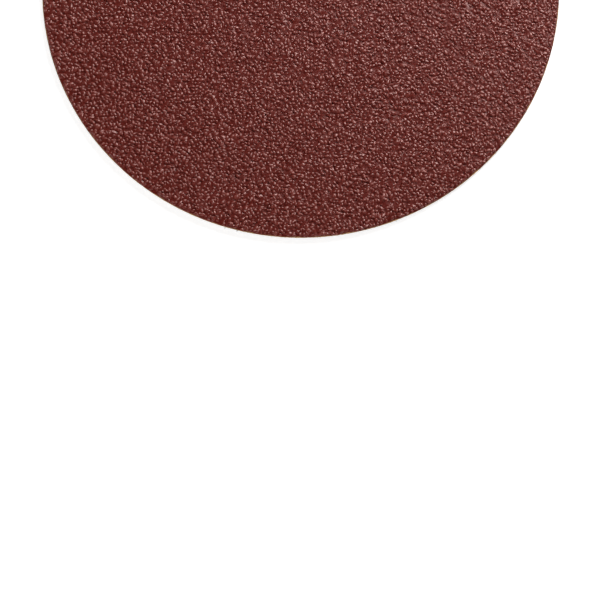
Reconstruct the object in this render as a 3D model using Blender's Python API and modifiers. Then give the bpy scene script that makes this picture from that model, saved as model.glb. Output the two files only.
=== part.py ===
"""A hook and loop sanding disc, 125 mm across, lying grit side up on its loops.

Three layers are bonded together and die-cut in one stroke. From the bottom up they are a warp-knitted
loop fabric, whose rows of loops catch the hooks of a sanding pad, a heavy paper, and a coat of coarse
grit held in resin. The disc has no dust holes. The origin is the centre of its underside, +Z is up,
and the rows of loops run along Y.
"""

import math
import random

import bmesh
import bpy
from mathutils import Vector
from mathutils.geometry import delaunay_2d_cdt

MM = 0.001

# Driving dimensions, in metres
DISC_DIAMETER = 125.0 * MM
GLUE_LINE = 0.02 * MM  # left between two bonded layers

GROUND_THICKNESS = 0.40 * MM  # the knitted ground that the loops grow from
PILE_HEIGHT = 0.75 * MM  # the loops below it
PILE_EDGE_TAPER = 0.40 * MM  # the loops' tips stand this far inside the cut edge
WALE_PITCH = 1.25 * MM  # from one row of loops to the next
WALE_TIP_WIDTH = 0.55 * MM  # a row's flat underside
WALE_GAP_ROOT = 0.25 * MM  # the bare ground between two rows

PAPER_THICKNESS = 0.33 * MM

COAT_THICKNESS = 0.70 * MM  # from the paper to the tips of the grit
GRIT_RELIEF = 0.34 * MM  # from the tips down to the resin between them
GRIT_PITCH = 2.1 * MM  # mean distance between the tips and pits of the relief
GRIT_SCATTER = 0.36  # how far a tip or pit strays from an even lattice, as a share of the pitch
COAT_EDGE_CRUSH = 0.25 * MM  # the die leaves the coat's top this far inside the cut edge

# How finely the round edge is divided, a multiple of four so that the disc is as wide as it is long
RIM_SEGMENTS = 240
GRIT_SEED = 36

# Where each layer starts and ends
DISC_RADIUS = DISC_DIAMETER / 2
FABRIC_TOP = PILE_HEIGHT + GROUND_THICKNESS
PAPER_BOTTOM = FABRIC_TOP + GLUE_LINE
PAPER_TOP = PAPER_BOTTOM + PAPER_THICKNESS
COAT_BOTTOM = PAPER_TOP + GLUE_LINE
COAT_TOP = COAT_BOTTOM + COAT_THICKNESS

# Colours, as linear red, green and blue
GRIT_COLOUR = (0.135, 0.037, 0.031)
PAPER_COLOUR = (0.52, 0.36, 0.20)
FABRIC_COLOUR = (0.80, 0.77, 0.70)


def clear_scene():
    for obj in list(bpy.data.objects):
        bpy.data.objects.remove(obj, do_unlink=True)


def new_collection(name):
    collection = bpy.data.collections.new(name)
    bpy.context.scene.collection.children.link(collection)
    return collection


def new_material(name, colour, roughness):
    material = bpy.data.materials.new(name)
    material.use_nodes = True
    shader = material.node_tree.nodes["Principled BSDF"]
    shader.inputs["Base Color"].default_value = (*colour, 1.0)
    shader.inputs["Roughness"].default_value = roughness
    shader.inputs["Metallic"].default_value = 0.0
    return material


def new_object(name, bm, collection, material=None):
    """An object made from a bmesh, with its round edge shaded smooth."""
    mesh = bpy.data.meshes.new(name)
    bm.to_mesh(mesh)
    bm.free()
    mesh.shade_smooth()
    mesh.set_sharp_from_angle(angle=math.radians(30))
    obj = bpy.data.objects.new(name, mesh)
    collection.objects.link(obj)
    if material:
        mesh.materials.append(material)
    return obj


def rim_points(radius):
    """Points evenly round the cut edge, at the given radius."""
    turn = 2 * math.pi / RIM_SEGMENTS
    return [Vector((radius * math.cos(i * turn), radius * math.sin(i * turn))) for i in range(RIM_SEGMENTS)]


def moved_up(bm, geometry, height):
    vertices = [item for item in geometry if isinstance(item, bmesh.types.BMVert)]
    bmesh.ops.translate(bm, verts=vertices, vec=(0, 0, height))


def make_paper(collection):
    """The paper is a plain die-cut disc."""
    bm = bmesh.new()
    bmesh.ops.create_cone(
        bm,
        cap_ends=True,
        segments=RIM_SEGMENTS,
        radius1=DISC_RADIUS,
        radius2=DISC_RADIUS,
        depth=PAPER_THICKNESS,
    )
    paper = new_object("paper_backing", bm, collection, new_material("kraft_paper", PAPER_COLOUR, 0.85))
    paper.location.z = PAPER_BOTTOM + PAPER_THICKNESS / 2
    return paper


def fabric_blank(collection, material):
    """The loop fabric before its rows are parted: a ground cut square, over a pile whose edge leans in."""
    bm = bmesh.new()
    bmesh.ops.create_cone(
        bm,
        cap_ends=True,
        segments=RIM_SEGMENTS,
        radius1=DISC_RADIUS - PILE_EDGE_TAPER,
        radius2=DISC_RADIUS,
        depth=PILE_HEIGHT,
    )
    moved_up(bm, bm.verts[:], PILE_HEIGHT / 2)
    pile_top = max(bm.faces, key=lambda face: face.calc_center_median().z)
    raised = bmesh.ops.extrude_face_region(bm, geom=[pile_top])["geom"]
    bm.faces.remove(pile_top)
    moved_up(bm, raised, GROUND_THICKNESS)
    return new_object("loop_backing", bm, collection, material)


def gap_cutter(collection):
    """The gaps between the rows of loops: one bar, wider at the loops' tips than at the ground, repeated."""
    overrun = PILE_HEIGHT / 2  # the bar runs past the tips and the edge, so that it cuts clean through
    mouth = WALE_PITCH - WALE_TIP_WIDTH
    flare = (mouth - WALE_GAP_ROOT) / PILE_HEIGHT
    bm = bmesh.new()
    bmesh.ops.create_cube(bm, size=1.0)
    for v in bm.verts:
        at_root = v.co.z > 0
        width = WALE_GAP_ROOT if at_root else mouth + flare * overrun
        height = PILE_HEIGHT if at_root else -overrun
        v.co = Vector((v.co.x * width, v.co.y * (DISC_DIAMETER + 2 * overrun), height))
    cutter = new_object("gaps_between_rows", bm, collection)
    cutter.hide_render = True
    cutter.display_type = "WIRE"

    # The gaps stand half a pitch off the centre, so that a row of loops runs through it
    gaps_each_side = int((DISC_RADIUS - PILE_EDGE_TAPER) / WALE_PITCH - 0.5)
    cutter.location.x = -(gaps_each_side - 0.5) * WALE_PITCH
    rows = cutter.modifiers.new("rows", "ARRAY")
    rows.use_relative_offset = False
    rows.use_constant_offset = True
    rows.constant_offset_displace = (WALE_PITCH, 0, 0)
    rows.count = 2 * gaps_each_side
    return cutter


def make_loop_backing(collection, cutters):
    fabric = fabric_blank(collection, new_material("loop_fabric", FABRIC_COLOUR, 0.95))
    parted = fabric.modifiers.new("parted_rows", "BOOLEAN")
    parted.operation = "DIFFERENCE"
    parted.object = gap_cutter(cutters)
    return fabric


def scattered_points(radius, rng):
    """The points of a triangular lattice inside a circle, each strayed at random."""
    row_step = GRIT_PITCH * math.sqrt(3) / 2
    rows = int(radius / row_step) + 1
    columns = int(radius / GRIT_PITCH) + 1
    stray = GRIT_SCATTER * GRIT_PITCH
    points = []
    for row in range(-rows, rows + 1):
        for column in range(-columns, columns + 1):
            x = (column + (row % 2) / 2) * GRIT_PITCH + rng.uniform(-stray, stray)
            y = row * row_step + rng.uniform(-stray, stray)
            if math.hypot(x, y) < radius:
                points.append(Vector((x, y)))
    return points


def make_grit_coat(collection):
    """The coat's top is a relief of tips and pits, its underside is flat, and its cut edge leans in."""
    rng = random.Random(GRIT_SEED)
    top_radius = DISC_RADIUS - COAT_EDGE_CRUSH
    spread = rim_points(top_radius) + scattered_points(top_radius - GRIT_PITCH / 2, rng)
    points, _, triangles, *_ = delaunay_2d_cdt(spread, [], [], 0, GRIT_PITCH / 1000, False)

    bm = bmesh.new()
    relief = [bm.verts.new((p.x, p.y, COAT_TOP - GRIT_RELIEF * rng.random())) for p in points]
    for triangle in triangles:
        bm.faces.new([relief[i] for i in triangle])
    edge = [e for e in bm.edges if e.is_boundary]
    skirt = bmesh.ops.extrude_edge_only(bm, edges=edge)["geom"]
    for v in skirt:
        if isinstance(v, bmesh.types.BMVert):
            v.co = Vector((*(v.co.xy.normalized() * DISC_RADIUS), COAT_BOTTOM))
    bmesh.ops.contextual_create(bm, geom=[e for e in skirt if isinstance(e, bmesh.types.BMEdge)])
    bmesh.ops.recalc_face_normals(bm, faces=bm.faces)
    return new_object("grit_coat", bm, collection, new_material("bonded_grit", GRIT_COLOUR, 0.45))


def main():
    clear_scene()
    disc = new_collection("sanding_disc")
    cutters = new_collection("cutters")
    make_loop_backing(disc, cutters)
    make_paper(disc)
    make_grit_coat(disc)


main()
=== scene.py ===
import math

import bpy
import numpy as np
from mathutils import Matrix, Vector
from mathutils.geometry import delaunay_2d_cdt
from mathutils.kdtree import KDTree


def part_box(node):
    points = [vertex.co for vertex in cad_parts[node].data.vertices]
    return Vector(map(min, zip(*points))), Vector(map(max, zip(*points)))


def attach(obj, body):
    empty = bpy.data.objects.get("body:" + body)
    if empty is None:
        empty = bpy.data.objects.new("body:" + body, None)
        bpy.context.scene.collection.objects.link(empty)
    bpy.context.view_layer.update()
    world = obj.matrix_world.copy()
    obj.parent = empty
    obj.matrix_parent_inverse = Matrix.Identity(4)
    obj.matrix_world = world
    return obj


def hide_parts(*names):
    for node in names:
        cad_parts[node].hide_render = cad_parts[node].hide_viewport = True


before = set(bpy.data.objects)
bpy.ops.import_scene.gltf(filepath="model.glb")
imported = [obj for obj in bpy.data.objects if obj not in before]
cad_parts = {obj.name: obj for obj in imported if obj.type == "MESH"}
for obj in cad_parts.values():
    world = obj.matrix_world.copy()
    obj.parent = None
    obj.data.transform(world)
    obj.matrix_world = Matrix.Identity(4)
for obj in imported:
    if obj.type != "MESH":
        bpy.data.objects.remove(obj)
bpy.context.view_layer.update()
mm = 0.001
print("frame loaded:", sorted(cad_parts))

# where the coat and the loops lie, read from the frame; the paper fills the space between them
coatLow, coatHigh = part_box("grit_coat")
loopLow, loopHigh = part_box("loop_backing")
discRadius = coatHigh.x

# camera, set so that the disc's outline is the photo's: an ellipse 516 pixels wide, cut by the top edge
camera = {
    "lens": 105,
    "clipStart": 10 * mm,
    "aimX": -0.17 * mm,
    "aimY": -77.14 * mm,  # in front of the disc, because the picture holds only its near part
    "elevation": 79.82,  # degrees above the floor
    "distance": 410.9 * mm,
}


def placeCamera(c):
    data = bpy.data.cameras.new("camera")
    data.lens = c["lens"]
    data.clip_start = c["clipStart"]
    obj = bpy.data.objects.new("camera", data)
    bpy.context.scene.collection.objects.link(obj)
    up = math.radians(c["elevation"])
    back = Vector((0, -math.cos(up), math.sin(up)))
    obj.location = Vector((c["aimX"], c["aimY"], 0)) + back * c["distance"]
    obj.rotation_euler = (-back).to_track_quat("-Z", "Y").to_euler()
    bpy.context.scene.camera = obj


placeCamera(camera)
print("camera placed")


# node helpers: an input takes a constant, or another node's output
def feed(tree, node, inputs):
    for name, value in inputs.items():
        if isinstance(value, bpy.types.NodeSocket):
            tree.links.new(value, node.inputs[name])
        else:
            node.inputs[name].default_value = value


def addNode(tree, kind, x, y, inputs=None, **settings):
    node = tree.nodes.new(kind)
    node.location = (x, y)
    for name, value in settings.items():
        setattr(node, name, value)
    feed(tree, node, inputs or {})
    return node


def addMath(tree, operation, x, y, *values, clamp=False):
    inputs = dict(enumerate(values))
    return addNode(tree, "ShaderNodeMath", x, y, inputs, operation=operation, use_clamp=clamp).outputs[0]


def addRange(tree, x, y, value, old, new, **settings):
    # carries a value from the old range over to the new one, and stops at its ends
    inputs = {"Value": value, "From Min": old[0], "From Max": old[1], "To Min": new[0], "To Max": new[1]}
    return addNode(tree, "ShaderNodeMapRange", x, y, inputs, **settings).outputs[0]


def addMix(tree, x, y, factor, first, second):
    inputs = {"Factor": factor, "A": first, "B": second}
    return addNode(tree, "ShaderNodeMix", x, y, inputs, data_type="RGBA").outputs["Result"]


def newGroup(name, inputs, outputs):
    tree = bpy.data.node_groups.new(name, "ShaderNodeTree")
    for label, kind in inputs.items():
        tree.interface.new_socket(label, in_out="INPUT", socket_type="NodeSocket" + kind)
    for label, kind in outputs.items():
        tree.interface.new_socket(label, in_out="OUTPUT", socket_type="NodeSocket" + kind)
    return tree, addNode(tree, "NodeGroupInput", -900, 0).outputs, addNode(tree, "NodeGroupOutput", 700, 0)


def newMaterial(name, group, values, bump):
    # takes its colour, gloss and fine bumps from a node group; bump is their strength and depth
    material = bpy.data.materials.new(name)
    material.use_nodes = True
    tree = material.node_tree
    place = addNode(tree, "ShaderNodeTexCoord", -900, 0).outputs["Object"]
    tone = addNode(tree, "ShaderNodeAttribute", -900, -250, attribute_name="tone").outputs["Fac"]
    given = {"Place": place, "Tone": tone, **values}
    surface = addNode(tree, "ShaderNodeGroup", -600, 0, given, node_tree=group).outputs
    relief = {"Height": surface["Height"], "Strength": bump[0], "Distance": bump[1]}
    bumps = addNode(tree, "ShaderNodeBump", -250, -250, relief)
    shader = tree.nodes["Principled BSDF"]
    feed(tree, shader, {"Base Color": surface["Color"], "Roughness": surface["Roughness"]})
    feed(tree, shader, {"Normal": bumps.outputs["Normal"]})
    return material, shader, surface, bumps


# geometry helpers
tiny = 0.1 * mm  # keeps a point at the centre from being divided by nothing


def hexDisc(radius, rings):
    # points ring by ring, six more on each, and the triangles between them, facing up
    def index(ring, place):
        if ring == 0:
            return np.zeros_like(place)
        return 1 + 3 * ring * (ring - 1) + place % (6 * ring)

    points = [np.zeros((1, 2))]
    faces = []
    for ring in range(1, rings + 1):
        turn = np.arange(6 * ring) * math.tau / (6 * ring)
        points.append(radius * ring / rings * np.stack([np.cos(turn), np.sin(turn)], 1))
        for side in range(6):
            outer = side * ring + np.arange(ring)
            low = index(ring - 1, side * (ring - 1) + np.arange(ring))
            high = index(ring, outer)
            faces.append(np.stack([low, high, index(ring, outer + 1)], 1))
            faces.append(np.stack([low[:-1], high[1:], low[1:]], 1))
    return np.concatenate(points), np.concatenate(faces)


def newPiece(name, vertices, faces, material, crisp=None):
    # shaded smooth, apart from the edges that bend more than the crisp angle
    mesh = bpy.data.meshes.new(name)
    mesh.from_pydata(np.asarray(vertices).tolist(), [], faces)
    mesh.materials.append(material)
    mesh.shade_smooth()
    if crisp is not None:
        mesh.set_sharp_from_angle(angle=crisp)
    piece = bpy.data.objects.new(name, mesh)
    bpy.context.scene.collection.objects.link(piece)
    return piece


def setTone(piece, tones, each):
    # one tone for each grain or loop, which its material reads
    tone = piece.data.attributes.new("tone", "FLOAT", "POINT")
    tone.data.foreach_set("value", np.repeat(tones, each))


# how a piece is laid out on its bake's map, which is one wide
bakeMap = {
    "radius": 0.49,  # of a round piece
    "margin": 0.04,  # round each grain or loop, in cells
    "hidden": 0.13,  # faces that nothing sees are shrunk by this
    "corner": 0.004,  # and put here, in the corner that a round piece leaves free
    "base": 0.14,  # or in this part of a grain's cell
}


def setMap(piece, places):
    # one place for each corner of each face
    layer = piece.data.uv_layers.new(name="OFBake")
    layer.uv.foreach_set("vector", np.asarray(places, np.float32).ravel())


def flatMap(piece, spots):
    # seen along the axis, each vertex at a spot from -1 to 1; the last face is the one that nothing sees
    mesh = piece.data
    corners = np.empty(len(mesh.loops), int)
    mesh.loops.foreach_get("vertex_index", corners)
    places = spots[corners] * bakeMap["radius"] + 0.5
    hidden = mesh.polygons[-1].loop_total
    places[-hidden:] = places[-hidden:] * bakeMap["hidden"] + bakeMap["corner"]
    setMap(piece, places)


def cellMap(piece, count, spots):
    # in square cells, one for each grain or loop; spots holds the corners of each of its faces
    side = math.ceil(math.sqrt(count))
    margin = bakeMap["margin"]
    cell = np.stack([np.arange(count) % side, np.arange(count) // side], 1)[:, None]
    places = [(cell + margin + (1 - 2 * margin) * spot).reshape(-1, 2) for spot in spots]
    setMap(piece, np.concatenate(places) / side)


def layOn(piece, slot, *nodes):
    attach(piece, "root")
    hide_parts(*nodes)
    print(f"{piece.name}: {sum(len(p.vertices) - 2 for p in piece.data.polygons)} triangles")


def waves(points, longest, shortest, count, seed):
    # low, smooth noise over the disc, the same each run
    rng = np.random.default_rng(seed)
    total = np.zeros(len(points))
    for _ in range(count):
        length = rng.uniform(shortest, longest)
        way = rng.uniform(0, math.tau)
        start = rng.uniform(0, math.tau)
        total += np.sin(math.tau / length * (points @ (math.cos(way), math.sin(way))) + start)
    return total / math.sqrt(count / 2)


# grit coat: a bed of resin with many thousands of crushed grains standing in it
grit = {
    "seed": 41,
    "spacing": 0.9 * mm,  # from grain to grain
    "stray": 0.38,  # how far a grain strays from its even place, as a share of the spacing
    "bare": 0.03,  # share of places with no grain
    "bedDepth": 0.44 * mm,  # from the highest tips down to the resin
    "bedWave": 0.015 * mm,
    "bedWaves": {"longest": 6 * mm, "shortest": 1.2 * mm, "count": 24, "seed": 7},
    "bedRings": 104,
    "bedStray": 0.32,  # how far a point of the bed strays, as a share of the step from ring to ring
    "bedCrisp": math.radians(70),
    "climb": 0.17 * mm,  # how far the resin climbs a grain, and over what distance
    "climbReach": 0.34 * mm,
    "skinRough": 0.045 * mm,
    "rimWidth": 2.2 * mm,  # the die has pressed the coat down along the rim
    "rimDrop": 0.16 * mm,
    "edgeInset": 0.08 * mm,  # the coat's cut edge leans in by this much
    "wallMap": 0.04,  # share of the bake's map for that edge
    "lip": 0.13 * mm,  # how far inside the disc's edge the coat ends, and how much that varies
    "lipVaries": 0.06 * mm,
    "lipWaves": {"longest": 7 * mm, "shortest": 0.9 * mm, "count": 30, "seed": 19},
    "lipLimits": (-1.3, 2.5),
    "halfWidth": 0.44 * mm,  # of a middling grain
    "widthSpread": 0.18,  # how much the widths differ
    "widths": (0.65, 1.4),  # the narrowest and widest grain, in middling ones
    "longer": (1.2, 2.1),  # a grain's length, in its own widths
    "longest": 0.95 * mm,  # no grain's half length is over this
    "high": (0.7, 1.0),  # a grain's height, as a share of the room above the resin
    "sunk": 0.10 * mm,  # how deep a grain's foot is under the resin
    "cornerTurn": 0.22,  # how far a corner turns from its even place, as a share of the step
    "levelStray": 0.5,  # a corner's height strays by this share of its stray outward
    "cutInset": 0.02 * mm,  # the die leaves the grains this far inside the coat's edge
    "pushIn": 0.8,  # a grain that stands out over the edge is moved in by this share of it
    "crisp": math.radians(95),  # an edge that bends more than this stays crisp under the resin
}


def rimFall(points, g):
    # how far the coat's surface lies lower near the rim
    inside = (discRadius - np.hypot(points[:, 0], points[:, 1])) / g["rimWidth"]
    return g["rimDrop"] * np.clip(1 - inside, 0, 1) ** 2


def coatEdge(points, g):
    # how far out the coat's foot reaches in the direction of each point
    away = np.hypot(points[:, 0], points[:, 1]).clip(tiny)[:, None]
    wave = waves(points / away * discRadius, **g["lipWaves"])
    return discRadius - g["lip"] - g["lipVaries"] * wave.clip(*g["lipLimits"])


def bedRipple(points, g):
    return g["bedWave"] * waves(points, **g["bedWaves"])


def bedHeight(points, g):
    return coatHigh.z - g["bedDepth"] + bedRipple(points, g) - rimFall(points, g)


def scatter(g, rng):
    # the points of a triangular lattice, each strayed at random
    spacing = g["spacing"]
    rowStep = math.sqrt(0.75)  # in spacings
    rows = int(discRadius / (spacing * rowStep)) + 1
    columns = int(discRadius / spacing) + 2
    row, column = np.meshgrid(np.arange(-rows, rows + 1), np.arange(-columns, columns + 1), indexing="ij")
    points = np.stack([(column + row % 2 / 2) * spacing, row * spacing * rowStep], -1).reshape(-1, 2)
    stray = g["stray"] * spacing
    points += rng.uniform(-stray, stray, points.shape)
    return points[np.hypot(points[:, 0], points[:, 1]) < discRadius]


def makeBed(g, centres, material):
    # the resin climbs every grain, so its skin follows them
    rings = g["bedRings"]
    edge = discRadius - g["edgeInset"]
    flat, faces = hexDisc(edge, rings)
    rng = np.random.default_rng(g["seed"])
    step = edge / rings
    inner = np.hypot(flat[:, 0], flat[:, 1]) < edge - step / 2
    stray = g["bedStray"] * step
    flat[inner] += rng.uniform(-stray, stray, (inner.sum(), 2))
    flat *= (coatEdge(flat, g) / discRadius)[:, None]
    tree = KDTree(len(centres))
    for i, (x, y) in enumerate(centres):
        tree.insert((x, y, 0), i)
    tree.balance()
    away = np.array([tree.find((x, y, 0))[2] for x, y in flat])
    climb = g["climb"] * np.exp(-((away / g["climbReach"]) ** 2))
    skin = g["skinRough"] * np.clip(rng.normal(0, 1, len(flat)), -2, 2)
    top = np.column_stack([flat, bedHeight(flat, g) + climb + skin])
    count = 6 * rings
    rim = np.arange(len(top) - count, len(top))
    foot = np.column_stack([flat[rim] * discRadius / edge, np.full(count, coatLow.z)])
    feet = np.arange(len(top), len(top) + count)
    sides = np.stack([rim, feet, np.roll(feet, -1), np.roll(rim, -1)], 1)
    shapes = faces.tolist() + sides.tolist() + [feet[::-1].tolist()]
    bed = newPiece("resinBed", np.concatenate([top, foot]), shapes, material, g["bedCrisp"])
    flatMap(bed, np.concatenate([flat / discRadius * (1 - g["wallMap"]), foot[:, :2] / discRadius]))
    layOn(bed, "bonded_grit", "grit_coat")


# four habits of crushed grain, each a few rings of corners from its foot to its top:
# how many corners, how far out, how high, and how much the last two stray
grainKinds = {
    "chippedGrains": {
        "share": 0.26,
        "rings": ((6, 1.0, 0.0, 0.18), (6, 0.74, 0.62, 0.24), (4, 0.36, 0.95, 0.30)),
        "tilt": 0.30,
    },
    "ridgedGrains": {
        "share": 0.32,
        "rings": ((6, 1.0, 0.0, 0.18), (6, 0.72, 0.62, 0.22), (2, 0.58, 0.95, 0.25)),
        "tilt": 0.30,
    },
    "keeledGrains": {
        "share": 0.26,
        "rings": ((5, 1.0, 0.0, 0.20), (6, 0.76, 0.55, 0.24), (3, 0.50, 0.95, 0.30)),
        "tilt": 0.30,
    },
    "pointedGrains": {
        "share": 0.16,
        "rings": ((5, 1.0, 0.0, 0.20), (5, 0.62, 0.55, 0.25), (3, 0.20, 0.98, 0.28)),
        "tilt": 0.35,
    },
}


def sideFaces(low, lowStart, high, highStart):
    # triangles between two rings of points
    faces = []
    i = j = 0
    while i < low or j < high:
        if j == high or (i < low and (i + 1) / low <= (j + 1) / high):
            faces.append((lowStart + i % low, lowStart + (i + 1) % low, highStart + j % high))
            i += 1
        else:
            faces.append((lowStart + i % low, highStart + (j + 1) % high, highStart + j % high))
            j += 1
    return faces


def grainFaces(corners):
    # a grain's sides and top, and apart from them its base
    starts = np.concatenate([[0], np.cumsum(corners)]).tolist()
    faces = []
    for k in range(len(corners) - 1):
        faces += sideFaces(corners[k], starts[k], corners[k + 1], starts[k + 1])
    if corners[-1] > 2:
        faces.append(tuple(range(starts[-2], starts[-1])))
    return faces, tuple(range(corners[0]))[::-1]


def grainCorners(kind, centres, g, rng):
    # the corners of each grain, round its own centre and above the resin there
    count = len(centres)
    wide = g["halfWidth"] * np.clip(rng.lognormal(0, g["widthSpread"], count), *g["widths"])[:, None]
    long = np.minimum(wide * rng.uniform(*g["longer"], (count, 1)), g["longest"])
    room = g["bedDepth"] - bedRipple(centres, g)[:, None]
    tall = room * rng.uniform(*g["high"], (count, 1))
    tiltX, tiltY = rng.normal(0, kind["tilt"], (2, count, 1))
    rings = kind["rings"]
    facing = np.cumsum([0] + [0.5 / ring[0] for ring in rings[1:]])  # each ring turns half a step on
    x, y, z = [], [], []
    for k, (corners, reach, high, stray) in enumerate(rings):
        off = rng.uniform(-g["cornerTurn"], g["cornerTurn"], (count, corners))
        turn = ((np.arange(corners) + off) / corners + facing[k] - facing[-1]) * math.tau
        out = reach * rng.uniform(1 - stray, 1 + stray, (count, corners))
        x.append(out * np.cos(turn) * long)
        y.append(out * np.sin(turn) * wide)
        less = g["levelStray"] * stray
        level = high * rng.uniform(1 - less, 1 + less, (count, corners)) * tall
        z.append(level + high * (tiltX * x[-1] + tiltY * y[-1]) - (g["sunk"] if k == 0 else 0))
    x, y, z = (np.concatenate(part, 1) for part in (x, y, z))
    z = np.where(z > 0, z * np.minimum(1, tall / z.max(1, keepdims=True)), z)
    turn = rng.uniform(0, math.tau, (count, 1))
    return x * np.cos(turn) - y * np.sin(turn), x * np.sin(turn) + y * np.cos(turn), z


def seatGrains(x, y, z, centres, g):
    # each grain on its place in the resin
    bed = bedHeight(centres, g)[:, None]
    cut = coatEdge(centres, g)[:, None] - g["cutInset"]
    over = np.hypot(x + centres[:, :1], y + centres[:, 1:]).max(1, keepdims=True) - cut
    centres = centres * (1 - g["pushIn"] * over.clip(0) / discRadius)  # grains at the rim are pushed in
    x, y = x + centres[:, :1], y + centres[:, 1:]
    shrink = np.minimum(1, cut / np.hypot(x, y).clip(tiny))  # and the die cuts what still stands out
    return np.stack([x * shrink, y * shrink, z + bed], -1)


def makeGrains(name, kind, centres, g, material, rng):
    x, y, z = grainCorners(kind, centres, g, rng)
    vertices = seatGrains(x, y, z, centres, g)
    corners = [ring[0] for ring in kind["rings"]]
    shapes, base = grainFaces(corners)
    count = len(centres)
    starts = np.arange(count) * sum(corners)
    faces = []
    for shape in shapes + [base]:
        faces += (starts[:, None] + np.array(shape)).tolist()
    piece = newPiece(name, vertices.reshape(-1, 3), faces, material, g["crisp"])
    setTone(piece, rng.random(count), sum(corners))

    spots = np.stack([x, y], -1)
    low, high = spots.min(1, keepdims=True), spots.max(1, keepdims=True)
    spots = bakeMap["base"] + (1 - bakeMap["base"]) * (spots - low) / (high - low)
    hidden = (spots[:, base] - bakeMap["base"]) * bakeMap["hidden"]
    cellMap(piece, count, [spots[:, shape] for shape in shapes] + [hidden])
    layOn(piece, "bonded_grit", "grit_coat")


# resin has run over the grit: each grain has a tone of its own, and fine specks break its gloss
resin = {
    "toneShare": 0.55,  # how much of the colour is the grain's tone, the rest being specks
    "specks": 5000.0,  # in a metre
    "bump": (0.9, 0.06 * mm),
    "thin": (0.72, 1.0),  # from here to here the resin has thinned to its worn colour
    "wear": 0.5,
    "gloss": (0.31, 0.47),  # roughness of the darkest resin and of the palest
    "refraction": 1.6,
    "highlight": (1.0, 0.73, 0.69, 1),
}
# deep is the colour of the darkest grains, full of the palest, and worn of resin that has thinned
grainLook = {
    "Deep": (0.125, 0.0088, 0.0051, 1),
    "Full": (0.201, 0.0300, 0.0203, 1),
    "Worn": (0.34, 0.11, 0.09, 1),
    "shine": 0.95,
}
# the resin between the grains: its own colour, made darker than on the grains as painted shade for the deep
# gaps between them
bedLookWithPaintedShade = {
    "Deep": (0.108, 0.0075, 0.0042, 1),
    "Full": (0.161, 0.0195, 0.0125, 1),
    "Worn": (0.25, 0.055, 0.044, 1),
    "shine": 0.40,
}


def resinOverGrit(r):
    tree, given, out = newGroup(
        "resinOverGrit",
        {
            "Place": "Vector",
            "Tone": "Float",
            "Deep": "Color",
            "Full": "Color",
            "Worn": "Color",
            "Speckle": "Float",
        },
        {"Color": "Color", "Roughness": "Float", "Height": "Float"},
    )
    noise = {"Vector": given["Place"], "Scale": given["Speckle"], "Detail": 2.0, "Roughness": 0.6}
    fine = addNode(tree, "ShaderNodeTexNoise", -650, 100, noise).outputs["Fac"]
    tone = addMath(tree, "MULTIPLY", -450, -50, given["Tone"], r["toneShare"])
    mixed = addMath(tree, "MULTIPLY_ADD", -280, 0, fine, 1 - r["toneShare"], tone)
    whole = addMix(tree, -80, 100, mixed, given["Deep"], given["Full"])
    thin = addRange(tree, -280, -250, mixed, r["thin"], (0, r["wear"]))
    rough = addRange(tree, 200, -150, mixed, (0, 1), r["gloss"])
    worn = addMix(tree, 200, 100, thin, whole, given["Worn"])
    feed(tree, out, {"Color": worn, "Roughness": rough, "Height": fine})
    return tree


def resinMaterial(name, group, look, r):
    values = {label: look[label] for label in ("Deep", "Full", "Worn")}
    material, shader, *_ = newMaterial(name, group, {"Speckle": r["specks"], **values}, r["bump"])
    shader.inputs["Specular IOR Level"].default_value = look["shine"]
    shader.inputs["IOR"].default_value = r["refraction"]
    shader.inputs["Specular Tint"].default_value = r["highlight"]
    return material


def makeCoat(g):
    group = resinOverGrit(resin)
    grainMaterial = resinMaterial("grainUnderResin", group, grainLook, resin)
    # the bed's resin carries painted shade for the gaps between grains
    bedMaterial = resinMaterial("resinBetweenGrainsShaded", group, bedLookWithPaintedShade, resin)
    rng = np.random.default_rng(g["seed"])
    places = scatter(g, rng)
    places = places[rng.random(len(places)) > g["bare"]]
    makeBed(g, places, bedMaterial)
    pick = rng.random(len(places))
    start = 0.0
    for name, kind in grainKinds.items():
        chosen = places[(pick >= start) & (pick < start + kind["share"])]
        start += kind["share"]
        makeGrains(name, kind, chosen, g, grainMaterial, rng)


makeCoat(grit)
print("grit coat made")


# fibres, for the paper and for the nylon
def fibreNoise():
    tree, given, out = newGroup(
        "fibres",
        {
            "Place": "Vector",
            "Stretch": "Vector",
            "Scale": "Float",
            "Dark": "Color",
            "Light": "Color",
            "Tone": "Float",
        },
        {"Color": "Color", "Roughness": "Float", "Height": "Float"},
    )
    toneShare, strandShare = 0.4, 0.8
    shades = (0.3, 0.9)  # from here to here of their sum the fibres turn from dark to light
    gloss = (0.9, 0.6)  # roughness of the dark fibres and of the light ones
    inputs = {0: given["Place"], 1: given["Stretch"]}
    drawn = addNode(tree, "ShaderNodeVectorMath", -700, 100, inputs, operation="MULTIPLY").outputs[0]
    noise = {"Vector": drawn, "Scale": given["Scale"], "Detail": 4.0, "Roughness": 0.65}
    strands = addNode(tree, "ShaderNodeTexNoise", -480, 150, noise).outputs["Fac"]
    tone = addMath(tree, "MULTIPLY", -480, -150, given["Tone"], toneShare)
    summed = addMath(tree, "MULTIPLY_ADD", -260, 0, strands, strandShare, tone)
    light = addRange(tree, -60, 0, summed, shades, (0, 1))
    mixed = addMix(tree, 200, 150, light, given["Dark"], given["Light"])
    rough = addRange(tree, 200, -150, light, (0, 1), gloss)
    feed(tree, out, {"Color": mixed, "Roughness": rough, "Height": strands})
    return tree


fibreGroup = fibreNoise()


def fibreMaterial(name, f):
    values = {label: f[label] for label in ("Dark", "Light", "Scale", "Stretch")}
    material, shader, surface, bumps = newMaterial(name, fibreGroup, values, f["bump"])
    shader.inputs["Sheen Weight"].default_value = f["sheen"]
    return material, shader, surface, bumps


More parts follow.
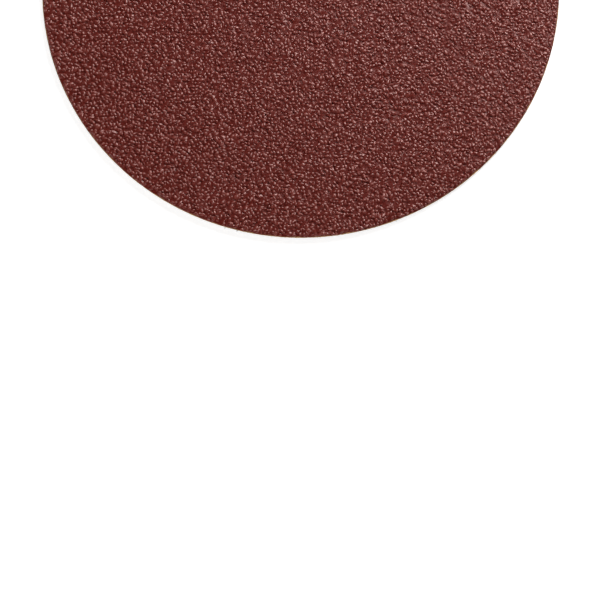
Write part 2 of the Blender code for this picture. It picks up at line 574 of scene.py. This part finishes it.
# paper: all that shows of it is its cut edge and a narrow lip beyond the coat
paper = {
    "seed": 12,
    "columns": 1440,
    "rows": 5,
    "inset": 0.03 * mm,
    "torn": 0.012 * mm,  # how far its fibres stand in and out
    "slow": {"longest": 9 * mm, "shortest": 1.5 * mm, "count": 16},  # and the slow waves in that
    "slowShare": 0.5,
    "crisp": math.radians(60),
    "wallMap": 0.4,  # share of the bake's map for the cut edge
    "kraft": {
        "Dark": (0.48, 0.26, 0.11, 1),
        "Light": (0.70, 0.42, 0.20, 1),
        "Scale": 9000.0,
        "Stretch": (1, 1, 3),
        "bump": (0.6, 0.02 * mm),
        "sheen": 0.0,
    },
}


def makePaper(p):
    rng = np.random.default_rng(p["seed"])
    columns, rows = p["columns"], p["rows"]
    turn = np.arange(columns) * math.tau / columns
    circle = np.stack([np.cos(turn), np.sin(turn)], 1)
    slow = waves(circle * discRadius, **p["slow"], seed=p["seed"])
    vertices, spots, faces = [], [], []
    for row in range(rows + 1):
        torn = p["slowShare"] * slow + rng.normal(0, 1, columns).clip(-2, 2)
        radius = discRadius - p["inset"] + p["torn"] * torn
        height = loopHigh.z + (coatLow.z - loopHigh.z) * row / rows
        vertices.append(np.column_stack([radius[:, None] * circle, np.full(columns, height)]))
        spots.append((1 - p["wallMap"] * row / rows) * circle)
        low = row * columns + np.arange(columns)
        if row < rows:
            faces += np.stack([low, np.roll(low, -1), np.roll(low, -1) + columns, low + columns], 1).tolist()
    faces.append(low.tolist())
    faces.append(list(range(columns))[::-1])
    material, *_ = fibreMaterial("kraftPaper", p["kraft"])
    sheet = newPiece("paperSheet", np.concatenate(vertices), faces, material, p["crisp"])
    flatMap(sheet, np.concatenate(spots))
    layOn(sheet, "paper", "paper_backing")
    return sheet


paperSheet = makePaper(paper)
print("paper made")

# loop fabric: a knitted ground and the rows of loops that grow from it
fabric = {
    "seed": 23,
    "rowPitch": 1.25 * mm,
    "stitch": 0.83 * mm,
    "thickness": 0.40 * mm,  # of the ground
    "ridge": 0.12 * mm,  # between two rows the ground is this much thinner
    "ripple": 0.05 * mm,
    "weave": 0.97 * mm,  # from point to point of the ground along a row
    "groundInset": 0.10 * mm,
    "wallLean": 0.04 * mm,  # the ground's cut edge leans out by this much
    "frayed": 0.03 * mm,
    "edgePoints": 900,
    "edgeGap": 0.3 * mm,  # between those points and the ground's own
    "merge": 0.001 * mm,
    "crisp": math.radians(60),
    "wallMap": 0.05,  # share of the bake's map for the cut edge
    "pileInset": 0.30 * mm,  # the outer loops' roots stand this far inside the cut edge
    "alongRow": 0.5,  # how far a loop stands from its even place along its row, in stitches
    "astray": 0.20 * mm,  # and how far beside the middle of the row
    "strand": 0.11 * mm,  # a loop's radius
    "strandVaries": (0.8, 1.15),
    "strandSides": 3,
    "loopWide": (0.20 * mm, 0.33 * mm),
    "shortfall": 0.20 * mm,  # how far from the plane of the longest loops' tips others may end
    "lean": 0.14 * mm,
    "mostLean": 2.2,  # in middling leans
    "leanCurve": 1.5,  # over 1, so that a loop leans more towards its tip
    "kink": 0.016 * mm,
    "turn": math.radians(50),  # how far a loop is turned out of its row
    "lengthMap": 0.92,  # share of a loop's cell for its length, the rest being for its ends
    "endMap": ((0.94, 0.0), (1.0, 0.0), (0.97, 0.4)),
    "loops": {
        "Dark": (0.60, 0.58, 0.53, 1),
        "Light": (0.86, 0.84, 0.80, 1),
        "Scale": 3500.0,
        "Stretch": (1, 1, 0.4),
        "bump": (0.3, 0.02 * mm),
        "sheen": 0.25,
    },
    "knit": {
        "Dark": (0.56, 0.54, 0.49, 1),
        "Light": (0.82, 0.80, 0.75, 1),
        "Scale": 6000.0,
        "Stretch": (1, 1, 1),
        "bump": (0.5, 0.02 * mm),
        "sheen": 0.2,
        "curls": 3600.0,  # threads in a metre
        "bent": 0.7 * mm,
        "bends": 1600.0,
        "threadEdge": 0.34,  # how far a thread's rounded side reaches
        "rowDepth": 0.8,  # of the valley between two rows, against a thread's height
        # painted shade: this dark colour is laid into the low gaps between threads and rows
        "gapShadeColour": (0.24, 0.22, 0.19, 1),
        "gapShade": 0.75,
        "relief": (0.8, 0.08 * mm),
    },
}


def brushedKnit(k):
    # fine threads curl every way over rows of knitting, and the gaps between them lie deep, with shade
    # painted into them by their depth
    tree, given, out = newGroup(
        "brushedKnit",
        {"Place": "Vector", "Rows": "Float", "Curls": "Float"},
        {"Height": "Float", "GapShade": "Float"},
    )
    noise = {"Vector": given["Place"], "Scale": k["bends"], "Detail": 1.0}
    stray = addNode(tree, "ShaderNodeTexNoise", -700, 200, noise).outputs["Color"]
    inputs = {0: stray, 1: (k["bent"],) * 3, 2: given["Place"]}
    bent = addNode(tree, "ShaderNodeVectorMath", -500, 200, inputs, operation="MULTIPLY_ADD").outputs[0]
    inputs = {"Vector": bent, "Scale": given["Curls"]}
    cells = addNode(tree, "ShaderNodeTexVoronoi", -320, 200, inputs, feature="DISTANCE_TO_EDGE")
    away = cells.outputs["Distance"]
    thread = addRange(tree, -120, 200, away, (0, k["threadEdge"]), (1, 0), interpolation_type="SMOOTHSTEP")
    split = addNode(tree, "ShaderNodeSeparateXYZ", -700, -150, {"Vector": given["Place"]})
    across = addMath(tree, "MULTIPLY", -500, -150, split.outputs["X"], given["Rows"])
    valley = addMath(tree, "PINGPONG", -320, -150, across, 0.5)
    height = addMath(tree, "MULTIPLY_ADD", 80, 100, valley, -k["rowDepth"], thread)
    # painted shade: the lower the knit lies, the more of the dark gap colour it takes
    gapShadeMask = addRange(tree, 300, -50, height, (-k["rowDepth"] / 2, 1), (k["gapShade"], 0))
    feed(tree, out, {"Height": height, "GapShade": gapShadeMask})
    return tree


def makeKnitMaterial(rowPitch, k):
    material, shader, surface, bumps = fibreMaterial("nylonKnit", k)
    tree = material.node_tree
    place = tree.nodes["Texture Coordinate"].outputs["Object"]
    inputs = {"Place": place, "Rows": 1 / rowPitch, "Curls": k["curls"]}
    knit = addNode(tree, "ShaderNodeGroup", -600, -450, inputs, node_tree=brushedKnit(k)).outputs
    # painted shade darkens the knit's colour in its gaps
    shaded = addMix(tree, -200, 200, knit["GapShade"], surface["Color"], k["gapShadeColour"])
    inputs = {"Height": knit["Height"], "Strength": k["relief"][0], "Distance": k["relief"][1]}
    relief = addNode(tree, "ShaderNodeBump", -420, -450, inputs)
    feed(tree, shader, {"Base Color": shaded})
    feed(tree, bumps, {"Normal": relief.outputs["Normal"]})
    return material


def makeGround(f):
    rng = np.random.default_rng(f["seed"])
    edge = discRadius - f["groundInset"]
    half = f["rowPitch"] / 2
    lines = int(edge / half)
    reach = int(edge / f["weave"]) + 1
    line, place = np.meshgrid(np.arange(-lines, lines + 1), np.arange(-reach, reach + 1), indexing="ij")
    inner = np.stack([line * half, (place + line % 2 / 2) * f["weave"]], -1).reshape(-1, 2)
    inner = inner[np.hypot(inner[:, 0], inner[:, 1]) < edge - f["edgeGap"]]
    turn = np.arange(f["edgePoints"]) * math.tau / f["edgePoints"]
    rim = np.stack([np.cos(turn), np.sin(turn)], 1)
    points = [Vector(v) for v in np.concatenate([rim * edge, inner]).tolist()]
    found, _, triangles, *_ = delaunay_2d_cdt(points, [], [], 0, f["merge"], False)
    flat = np.array([tuple(v) for v in found])
    order = np.argsort(-np.hypot(flat[:, 0], flat[:, 1]), kind="stable")[: f["edgePoints"]]
    order = order[np.argsort(np.arctan2(flat[order, 1], flat[order, 0]))]
    ridges = 0.5 - 0.5 * np.cos(math.tau * flat[:, 0] / f["rowPitch"])
    under = loopHigh.z - f["thickness"] + f["ridge"] * ridges
    under += rng.uniform(-f["ripple"], f["ripple"], len(flat))
    spots = flat / discRadius * (1 - f["wallMap"])
    flat[order] *= 1 + f["frayed"] / edge * rng.normal(0, 1, (len(order), 1)).clip(-2, 2)
    upper = flat[order] * (1 + f["wallLean"] / edge)
    above = np.column_stack([upper, np.full(len(order), loopHigh.z)])
    vertices = np.concatenate([np.column_stack([flat, under]), above])
    top = len(flat) + np.arange(len(order))
    faces = [list(t)[::-1] for t in triangles]
    faces += np.stack([order, np.roll(order, -1), np.roll(top, -1), top], 1).tolist()
    faces.append(top.tolist())
    material = makeKnitMaterial(f["rowPitch"], f["knit"])
    ground = newPiece("knitGround", vertices, faces, material, f["crisp"])
    flatMap(ground, np.concatenate([spots, upper / discRadius]))
    layOn(ground, "loop_fabric", "loop_backing")
    return ground


# a loop's path: sideways in half widths, and up from its tip to its roots
loopPath = np.array([(-0.4, 1.0), (-0.95, 0.50), (-0.55, 0.02), (0.55, 0.02), (0.95, 0.50), (0.4, 1.0)])


def loopRoots(rows, f, rng):
    # where the loops of every other row stand
    reach = int(discRadius / f["stitch"]) + 1
    most = int(discRadius / f["rowPitch"])
    line, place = np.meshgrid(np.arange(-most, most + 1), np.arange(-reach, reach + 1), indexing="ij")
    line, place = line[line % 2 == rows], place[line % 2 == rows]
    along = place + f["alongRow"] * rng.uniform(0, 1, len(place))
    roots = np.stack([line * f["rowPitch"], along * f["stitch"]], -1)
    roots[:, 0] += rng.uniform(-f["astray"], f["astray"], len(roots))
    return roots[np.hypot(roots[:, 0], roots[:, 1]) < discRadius - f["pileInset"]]


def loopPaths(roots, f, rng):
    # the middle line of each loop, and the level way across it
    count = len(roots)
    turn = math.pi / 2 + rng.uniform(-f["turn"], f["turn"], count)
    along = np.stack([np.cos(turn), np.sin(turn), np.zeros(count)], -1)[:, None]
    across = np.stack([-np.sin(turn), np.cos(turn), np.zeros(count)], -1)[:, None]
    wide = rng.uniform(*f["loopWide"], (count, 1, 1))
    tip = f["strand"] + loopLow.z + rng.uniform(0, 1, (count, 1)) ** 2 * f["shortfall"]
    root = loopHigh.z - f["thickness"] / 2
    most = f["mostLean"] * f["lean"]
    lean = rng.normal(0, f["lean"], (count, 1, 2)).clip(-most, most)
    sideways, up = loopPath[:, 0], loopPath[:, 1]
    path = along * wide * sideways[:, None]
    path[:, :, :2] += roots[:, None] + lean * (1 - up)[:, None] ** f["leanCurve"]
    path[:, :, 2] = tip + (root - tip) * up
    path[:, 1:-1] += rng.normal(0, f["kink"], (count, len(loopPath) - 2, 3))
    return path, across


def strandSkin(path, across, f, rng):
    # the corners of a thin tube round each path
    way = np.gradient(path, axis=1)
    way /= np.linalg.norm(way, axis=2, keepdims=True)
    flatSide = across - (across * way).sum(2, keepdims=True) * way
    flatSide /= np.linalg.norm(flatSide, axis=2, keepdims=True)
    other = np.cross(way, flatSide)
    around = np.arange(f["strandSides"]) * math.tau / f["strandSides"]
    strand = f["strand"] * rng.uniform(*f["strandVaries"], (len(path), 1, 1, 1))
    ring = np.cos(around)[:, None] * flatSide[:, :, None] + np.sin(around)[:, None] * other[:, :, None]
    vertices = path[:, :, None] + strand * ring
    vertices[..., 2] = np.maximum(vertices[..., 2], loopLow.z)
    return vertices.reshape(-1, 3)


def makeLoops(name, rows, f, material):
    rng = np.random.default_rng((f["seed"], rows))
    path, across = loopPaths(loopRoots(rows, f, rng), f, rng)
    vertices = strandSkin(path, across, f, rng)
    count, steps, sides = len(path), len(loopPath), f["strandSides"]
    starts = np.arange(count) * steps * sides
    faces, spots = [], []

    def addFace(corners, places):
        # the same face on every loop
        faces.extend((starts[:, None] + np.array(corners)).tolist())
        spots.append(np.broadcast_to(np.array(places), (count, len(corners), 2)))

    for i in range(steps - 1):
        for j in range(sides):
            low = i * sides
            k = (j + 1) % sides
            places = np.array([(i, j), (i, j + 1), (i + 1, j + 1), (i + 1, j)])
            corners = (low + j, low + k, low + sides + k, low + sides + j)
            addFace(corners, places * (f["lengthMap"] / (steps - 1), 1 / sides))
    last = (steps - 1) * sides
    addFace(range(sides)[::-1], f["endMap"])
    addFace(range(last, last + sides), np.array(f["endMap"]) + (0, 0.5))
    piece = newPiece(name, vertices, faces, material)
    setTone(piece, rng.random(count), steps * sides)
    cellMap(piece, count, spots)
    layOn(piece, "loop_fabric", "loop_backing")
    return piece


loopMaterial, *_ = fibreMaterial("nylonLoops", fabric["loops"])
knitGround = makeGround(fabric)
loopRows = [makeLoops("evenLoops", 0, fabric, loopMaterial), makeLoops("oddLoops", 1, fabric, loopMaterial)]
print("loop fabric made")

# floor and light
studio = {
    "floorReach": 4.0,
    "floorDrop": 0.02 * mm,  # so that it doesn't meet the loops' tips
    "floorColour": (0.82, 0.82, 0.82, 1),
    "floorLift": 0.66,  # how white the camera sees the shadow near the disc
    "shadowEnds": (0.09, 0.16),  # from here to here the floor turns fully white
    "worldLight": 0.1,  # on the disc, from all sides
    "mirroredTo": (0.04, 0.14),  # up to here above the horizon the resin mirrors the white backdrop
    "keyLamp": {"place": (0.23, 0.32, 0.28), "size": 0.31, "power": 3.1, "mirrored": True},
    "fillLamp": {"place": (-0.45, -0.60, 0.22), "size": 0.60, "power": 4.7, "mirrored": False},
}


def backdropRays(tree, rays, mirrored):
    # 1 for a ray that sees the white backdrop, 0 for one that only lights the disc
    clear = addMath(tree, "ADD", -520, 200, rays["Is Camera Ray"], rays["Is Transmission Ray"])
    return addMath(tree, "ADD", -350, 200, clear, mirrored, clamp=True)


def makeFloor(s):
    reach = s["floorReach"]
    corners = [(-reach, -reach, 0), (reach, -reach, 0), (reach, reach, 0), (-reach, reach, 0)]
    mesh = bpy.data.meshes.new("floor")
    mesh.from_pydata(corners, [], [(0, 1, 2, 3)])
    floor = bpy.data.objects.new("floor", mesh)
    bpy.context.scene.collection.objects.link(floor)
    floor.location.z = -s["floorDrop"]
    material = bpy.data.materials.new("paleFloor")
    material.use_nodes = True
    tree = material.node_tree
    tree.nodes.clear()
    place = addNode(tree, "ShaderNodeTexCoord", -900, -100).outputs["Object"]
    away = addNode(tree, "ShaderNodeVectorMath", -700, -100, {0: place}, operation="LENGTH").outputs["Value"]
    white = addRange(tree, -500, -100, away, s["shadowEnds"], (s["floorLift"], 1))
    rays = addNode(tree, "ShaderNodeLightPath", -700, 250).outputs
    seen = backdropRays(tree, rays, rays["Is Glossy Ray"])
    lifted = addMath(tree, "MULTIPLY", -180, -50, seen, white)
    glow = addNode(tree, "ShaderNodeEmission", 0, -100, {"Strength": lifted}).outputs[0]
    matte = addNode(tree, "ShaderNodeBsdfDiffuse", 0, 100, {"Color": s["floorColour"]}).outputs[0]
    both = addNode(tree, "ShaderNodeAddShader", 200, 0, {0: matte, 1: glow}).outputs[0]
    addNode(tree, "ShaderNodeOutputMaterial", 400, 0, {"Surface": both})
    mesh.materials.append(material)


def addLamp(name, lamp):
    data = bpy.data.lights.new(name, "AREA")
    data.energy = lamp["power"]
    data.size = lamp["size"]
    obj = bpy.data.objects.new(name, data)
    obj.location = lamp["place"]
    obj.visible_glossy = lamp["mirrored"]
    obj.rotation_euler = (-Vector(lamp["place"])).to_track_quat("-Z", "Y").to_euler()
    bpy.context.scene.collection.objects.link(obj)


def lightWorld(s):
    world = bpy.data.worlds.new("studio")
    bpy.context.scene.world = world
    world.use_nodes = True
    tree = world.node_tree
    place = addNode(tree, "ShaderNodeTexCoord", -1100, -250).outputs["Generated"]
    height = addNode(tree, "ShaderNodeSeparateXYZ", -900, -250, {"Vector": place}).outputs["Z"]
    low = addRange(tree, -700, -250, height, s["mirroredTo"], (1, 0))
    rays = addNode(tree, "ShaderNodeLightPath", -900, 100).outputs
    mirrored = addMath(tree, "MULTIPLY", -500, -150, rays["Is Glossy Ray"], low)
    seen = backdropRays(tree, rays, mirrored)
    strength = addRange(tree, -200, 0, seen, (0, 1), (s["worldLight"], 1))
    feed(tree, tree.nodes["Background"], {"Color": (1, 1, 1, 1), "Strength": strength})


makeFloor(studio)
lightWorld(studio)
for name in ("keyLamp", "fillLamp"):
    addLamp(name, studio[name])
bpy.context.scene.view_settings.view_transform = "Standard"
print("studio set")
